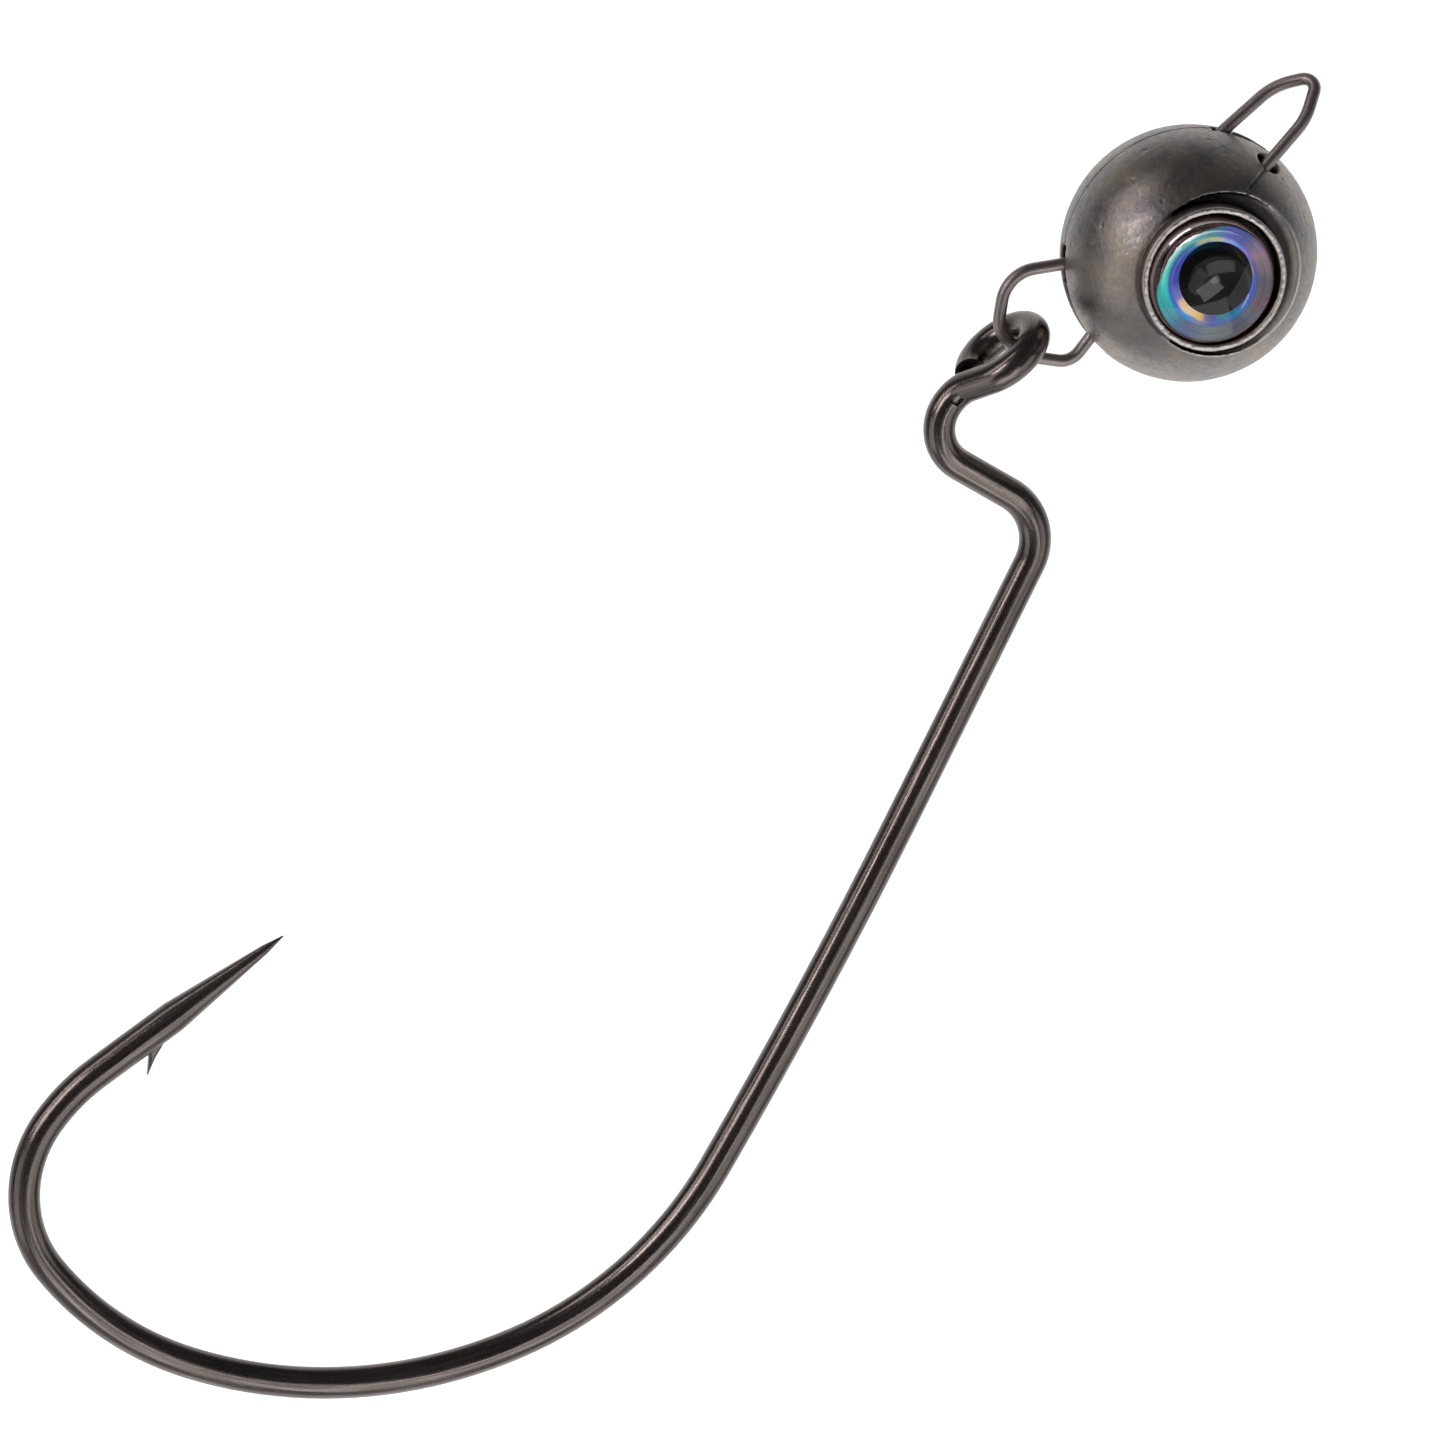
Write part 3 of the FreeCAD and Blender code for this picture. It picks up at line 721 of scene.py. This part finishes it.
def make_eye(name, side):
    floor, foil_y, top, crown = PAD_LOW.y, FOIL_LOW.y, DOME_LOW.y, DOME_HIGH.y
    # pad, with the thin bead of glue that has crept out past the foil
    bead = top + 0.5 * DOME_RIM_T
    pad = [(0, floor), (GLUE_R - 0.05 * MM, floor), (GLUE_R, floor + 0.10 * MM),
           (GLUE_R - 0.02 * MM, bead - 0.05 * MM), (EYE_R + 0.04 * MM, bead),
           (EYE_R + 0.01 * MM, bead - 0.04 * MM), (EYE_R + 0.01 * MM, foil_y), (0, foil_y)]
    finish_piece(lathe(pad, 96, side), "eye_pad_glue_" + name, GLUE, "head",
                 "eye_pad_" + name)
    # foil, pressed with shallow rings
    face = top - 0.012 * MM
    foil = [(0, foil_y), (EYE_R, foil_y), (EYE_R, face)]
    for k in range(FOIL_RINGS):
        r = EYE_R - (EYE_R - PUPIL_R * 0.8) * (k + 0.5) / FOIL_RINGS
        foil.append((r, face - (RING_DEPTH if k % 2 else 0.0)))
    foil.append((0, face))
    finish_piece(lathe(foil, 128, side), "eye_foil_print_" + name, FOIL, "head",
                 "eye_foil_" + name)
    # pupil, a thin layer of ink on the foil
    ink = lathe([(0, face), (PUPIL_R, face), (PUPIL_R - 0.005 * MM, face + INK_T), (0, face + INK_T)],
                96, side)
    bmesh.ops.translate(ink, verts=ink.verts[:], vec=PUPIL_SHIFT)
    finish_piece(ink, "eye_pupil_" + name, PUPIL, "head")
    # dome: rounded rim, then a shallow cap
    rise = crown - top - DOME_RIM_T
    cap_r = (EYE_R ** 2 + rise ** 2) / (2 * rise)
    steps = 26
    cap = []
    for k in range(steps + 1):
        r = (EYE_R - 0.03 * MM) * (1 - k / steps)
        cap.append((r, crown - cap_r + math.sqrt(cap_r ** 2 - r ** 2)))
    dome = [(0, top), (EYE_R - 0.02 * MM, top), (EYE_R, top + 0.03 * MM),
            (EYE_R, top + DOME_RIM_T - 0.03 * MM)]
    finish_piece(lathe(dome + cap, 128, side), "eye_dome_clear_" + name, RESIN, "head",
                 "eye_dome_" + name, sharp=60)


# ---------------------------------------------------------------- stage, light and camera

def make_floor():
    bm = bmesh.new()
    bmesh.ops.create_grid(bm, x_segments=1, y_segments=1, size=4.0,
                          matrix=Matrix.Translation((0, 0, cad_box[0].z - FLOOR_DROP)))
    mesh = bpy.data.meshes.new("floor")
    bm.to_mesh(mesh)
    bm.free()
    paper, _, shader = material("pale floor")
    shader.inputs["Base Color"].default_value = (0.8, 0.8, 0.8, 1)
    shader.inputs["Roughness"].default_value = 0.9
    shader.inputs["Emission Color"].default_value = (1, 1, 1, 1)
    shader.inputs["Emission Strength"].default_value = 0.9
    mesh.materials.append(paper)
    floor = bpy.data.objects.new("floor", mesh)
    bpy.context.scene.collection.objects.link(floor)
    # reflections and light pass through it, as they do for a jig hung over a lit table
    floor.visible_glossy = floor.visible_diffuse = floor.visible_shadow = floor.visible_transmission = False


def make_sky():
    """White behind the jig. In its reflections, bright behind and below, dark above and on the near side."""
    world = bpy.data.worlds.new("studio")
    bpy.context.scene.world = world
    world.use_nodes = True
    tree = world.node_tree
    out = tree.nodes["Background"]
    way = node(tree, "TexCoord").outputs["Generated"]
    toward = node(tree, "VectorMath", {0: way, 1: TO_CAMERA}, operation="DOT_PRODUCT").outputs["Value"]
    above = node(tree, "VectorMath", {0: way, 1: UP}, operation="DOT_PRODUCT").outputs["Value"]
    back = spread(tree, toward, 0.0, -0.7, 0.0, 1.0, smooth=True)
    below = spread(tree, above, -0.3, -0.9, 0.0, 1.0, smooth=True)
    glow = maths(tree, "ADD", maths(tree, "MULTIPLY", back, BACK_GLOW),
                 maths(tree, "MULTIPLY", below, BELOW_GLOW))
    glow = maths(tree, "ADD", glow, LEAST_GLOW)
    seen = node(tree, "LightPath").outputs["Is Camera Ray"]
    strength = maths(tree, "ADD", maths(tree, "MULTIPLY", seen, 1.0),
                     maths(tree, "MULTIPLY", maths(tree, "SUBTRACT", 1.0, seen), glow))
    tree.links.new(strength, out.inputs["Strength"])
    out.inputs["Color"].default_value = (1, 1, 1, 1)


def soft_light(name, right, up, toward, lean, width, height, glow, colour):
    """A softbox placed by the viewer's own right, up and near directions, facing the middle of the jig.

    lean: its long side's angle from the viewer's level. glow: how bright its face is."""
    way = (RIGHT * right + UP * up + TO_CAMERA * toward).normalized()
    long = RIGHT * math.cos(math.radians(lean)) + UP * math.sin(math.radians(lean))
    long = (long - way * long.dot(way)).normalized()
    data = bpy.data.lights.new(name, "AREA")
    data.shape, data.size, data.size_y = "RECTANGLE", width, height
    data.energy, data.color = glow * math.pi * width * height, colour
    lamp = bpy.data.objects.new(name, data)
    turn = Matrix((long, way.cross(long), way)).transposed().to_4x4()
    lamp.matrix_world = Matrix.Translation((cad_box[0] + cad_box[1]) / 2 + way * LAMP_DISTANCE) @ turn
    lamp.visible_camera = False
    bpy.context.scene.collection.objects.link(lamp)


def make_lights():
    soft_light("upper left strip", -0.68, 0.56, 0.42, 48, 0.46, 0.06, 3.2, (1.0, 0.93, 0.91))
    soft_light("upper left softbox", -0.60, 0.26, 0.75, 58, 0.26, 0.09, 6.0, (1.0, 0.93, 0.91))
    soft_light("left softbox", -0.80, -0.40, 0.42, 60, 0.40, 0.32, 0.75, (1.0, 0.97, 0.96))
    soft_light("low softbox", 0.22, -0.82, 0.50, 0, 0.44, 0.26, 1.05, (1.0, 0.98, 0.96))
    soft_light("right softbox", 0.84, -0.36, 0.36, 60, 0.36, 0.28, 0.65, (1.0, 0.98, 0.97))
    soft_light("near spot", 0.44, -0.485, 0.756, 39, 0.13, 0.09, 2.0, (1.0, 0.95, 0.93))


def make_camera():
    data = bpy.data.cameras.new("camera")
    data.lens, data.sensor_width = LENS, SENSOR
    data.clip_start, data.clip_end = 0.01, 20.0
    camera = bpy.data.objects.new("camera", data)
    target = (cad_box[0] + cad_box[1]) / 2 + FRAMING
    place = target + TO_CAMERA * (FRAME_W * LENS / SENSOR)
    turn = Matrix((RIGHT, UP, TO_CAMERA)).transposed()
    camera.matrix_world = Matrix.Translation(place) @ turn.to_4x4()
    bpy.context.scene.collection.objects.link(camera)
    bpy.context.scene.camera = camera
    bpy.context.scene.view_settings.view_transform = "Standard"


make_ball()
make_clip()
make_hook()
make_eye("right", -1)
make_eye("left", 1)
make_floor()
make_sky()
make_lights()
make_camera()

bpy.context.view_layer.update()
